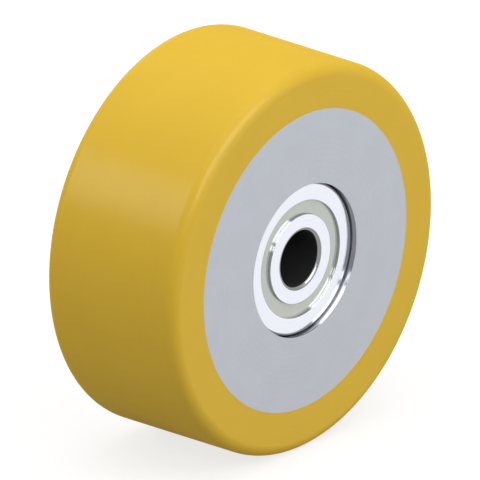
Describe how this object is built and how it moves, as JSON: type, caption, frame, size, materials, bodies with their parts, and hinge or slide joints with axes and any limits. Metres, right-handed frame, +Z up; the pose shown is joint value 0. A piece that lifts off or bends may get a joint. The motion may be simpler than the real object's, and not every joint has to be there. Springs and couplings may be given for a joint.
{
  "type": "pallet truck wheel",
  "caption": "Solid wheel with a yellow polyurethane tread on a plain grey metal centre, running on sealed ball bearings set into both faces, for a plain axle.",
  "frame": {"origin": "centre of the wheel, on the axle's line midway between the two faces", "axes": "+Y along the axle from the front face to the back face, +Z up as the wheel rolls"},
  "size_m": [0.12, 0.05, 0.12],
  "materials": {
    "tread_polyurethane": "satin",
    "centre_steel": "matte",
    "bearing_steel": "satin",
    "ball_steel": "polished",
    "cage_steel": "satin",
    "seal_rubber": "matte",
    "spacer_steel": "matte"
  },
  "bodies": {
    "inner_rings": {"spacer_tube": "spacer_steel", "front_inner_ring": "bearing_steel", "back_inner_ring": "bearing_steel"},
    "rolling_wheel": {"tread": "tread_polyurethane", "wheel_centre": "centre_steel", "front_outer_ring": "bearing_steel", "front_outboard_seal": "seal_rubber", "front_inboard_seal": "seal_rubber", "back_outer_ring": "bearing_steel", "back_outboard_seal": "seal_rubber", "back_inboard_seal": "seal_rubber"},
    "front_cage": {"front_cage_outboard_half": "cage_steel", "front_cage_inboard_half": "cage_steel", "front_cage_rivets": "cage_steel"},
    "front_ball_1": {"front_ball_1": "ball_steel"},
    "front_ball_2": {"front_ball_2": "ball_steel"},
    "front_ball_3": {"front_ball_3": "ball_steel"},
    "front_ball_4": {"front_ball_4": "ball_steel"},
    "front_ball_5": {"front_ball_5": "ball_steel"},
    "front_ball_6": {"front_ball_6": "ball_steel"},
    "front_ball_7": {"front_ball_7": "ball_steel"},
    "back_cage": {"back_cage_outboard_half": "cage_steel", "back_cage_inboard_half": "cage_steel", "back_cage_rivets": "cage_steel"},
    "back_ball_1": {"back_ball_1": "ball_steel"},
    "back_ball_2": {"back_ball_2": "ball_steel"},
    "back_ball_3": {"back_ball_3": "ball_steel"},
    "back_ball_4": {"back_ball_4": "ball_steel"},
    "back_ball_5": {"back_ball_5": "ball_steel"},
    "back_ball_6": {"back_ball_6": "ball_steel"},
    "back_ball_7": {"back_ball_7": "ball_steel"}
  },
  "joints": [
    {"name": "wheel_spin", "type": "hinge", "parent": "inner_rings", "child": "rolling_wheel", "pos_m": [0, 0, 0], "axis": [0, 1, 0], "continuous": true},
    {"name": "front_cage_spin", "type": "hinge", "parent": "inner_rings", "child": "front_cage", "pos_m": [0, 0, 0], "axis": [0, 1, 0], "continuous": true},
    {"name": "front_ball_1_spin", "type": "hinge", "parent": "front_cage", "child": "front_ball_1", "pos_m": [0, -0.0162, 0.016], "axis": [0, 1, 0], "continuous": true},
    {"name": "front_ball_2_spin", "type": "hinge", "parent": "front_cage", "child": "front_ball_2", "pos_m": [-0.01251, -0.0162, 0.00998], "axis": [0, 1, 0], "continuous": true},
    {"name": "front_ball_3_spin", "type": "hinge", "parent": "front_cage", "child": "front_ball_3", "pos_m": [-0.0156, -0.0162, -0.00356], "axis": [0, 1, 0], "continuous": true},
    {"name": "front_ball_4_spin", "type": "hinge", "parent": "front_cage", "child": "front_ball_4", "pos_m": [-0.00694, -0.0162, -0.01442], "axis": [0, 1, 0], "continuous": true},
    {"name": "front_ball_5_spin", "type": "hinge", "parent": "front_cage", "child": "front_ball_5", "pos_m": [0.00694, -0.0162, -0.01442], "axis": [0, 1, 0], "continuous": true},
    {"name": "front_ball_6_spin", "type": "hinge", "parent": "front_cage", "child": "front_ball_6", "pos_m": [0.0156, -0.0162, -0.00356], "axis": [0, 1, 0], "continuous": true},
    {"name": "front_ball_7_spin", "type": "hinge", "parent": "front_cage", "child": "front_ball_7", "pos_m": [0.01251, -0.0162, 0.00998], "axis": [0, 1, 0], "continuous": true},
    {"name": "back_cage_spin", "type": "hinge", "parent": "inner_rings", "child": "back_cage", "pos_m": [0, 0, 0], "axis": [0, 1, 0], "continuous": true},
    {"name": "back_ball_1_spin", "type": "hinge", "parent": "back_cage", "child": "back_ball_1", "pos_m": [0, 0.0162, 0.016], "axis": [0, 1, 0], "continuous": true},
    {"name": "back_ball_2_spin", "type": "hinge", "parent": "back_cage", "child": "back_ball_2", "pos_m": [0.01251, 0.0162, 0.00998], "axis": [0, 1, 0], "continuous": true},
    {"name": "back_ball_3_spin", "type": "hinge", "parent": "back_cage", "child": "back_ball_3", "pos_m": [0.0156, 0.0162, -0.00356], "axis": [0, 1, 0], "continuous": true},
    {"name": "back_ball_4_spin", "type": "hinge", "parent": "back_cage", "child": "back_ball_4", "pos_m": [0.00694, 0.0162, -0.01442], "axis": [0, 1, 0], "continuous": true},
    {"name": "back_ball_5_spin", "type": "hinge", "parent": "back_cage", "child": "back_ball_5", "pos_m": [-0.00694, 0.0162, -0.01442], "axis": [0, 1, 0], "continuous": true},
    {"name": "back_ball_6_spin", "type": "hinge", "parent": "back_cage", "child": "back_ball_6", "pos_m": [-0.0156, 0.0162, -0.00356], "axis": [0, 1, 0], "continuous": true},
    {"name": "back_ball_7_spin", "type": "hinge", "parent": "back_cage", "child": "back_ball_7", "pos_m": [-0.01251, 0.0162, 0.00998], "axis": [0, 1, 0], "continuous": true}
  ],
  "couplings": [
    {"joint": "front_cage_spin", "follows": "wheel_spin", "ratio": 0.63642},
    {"joint": "front_ball_1_spin", "follows": "wheel_spin", "ratio": 1.6961},
    {"joint": "front_ball_2_spin", "follows": "wheel_spin", "ratio": 1.6961},
    {"joint": "front_ball_3_spin", "follows": "wheel_spin", "ratio": 1.6961},
    {"joint": "front_ball_4_spin", "follows": "wheel_spin", "ratio": 1.6961},
    {"joint": "front_ball_5_spin", "follows": "wheel_spin", "ratio": 1.6961},
    {"joint": "front_ball_6_spin", "follows": "wheel_spin", "ratio": 1.6961},
    {"joint": "front_ball_7_spin", "follows": "wheel_spin", "ratio": 1.6961},
    {"joint": "back_cage_spin", "follows": "wheel_spin", "ratio": 0.63642},
    {"joint": "back_ball_1_spin", "follows": "wheel_spin", "ratio": 1.6961},
    {"joint": "back_ball_2_spin", "follows": "wheel_spin", "ratio": 1.6961},
    {"joint": "back_ball_3_spin", "follows": "wheel_spin", "ratio": 1.6961},
    {"joint": "back_ball_4_spin", "follows": "wheel_spin", "ratio": 1.6961},
    {"joint": "back_ball_5_spin", "follows": "wheel_spin", "ratio": 1.6961},
    {"joint": "back_ball_6_spin", "follows": "wheel_spin", "ratio": 1.6961},
    {"joint": "back_ball_7_spin", "follows": "wheel_spin", "ratio": 1.6961}
  ]
}
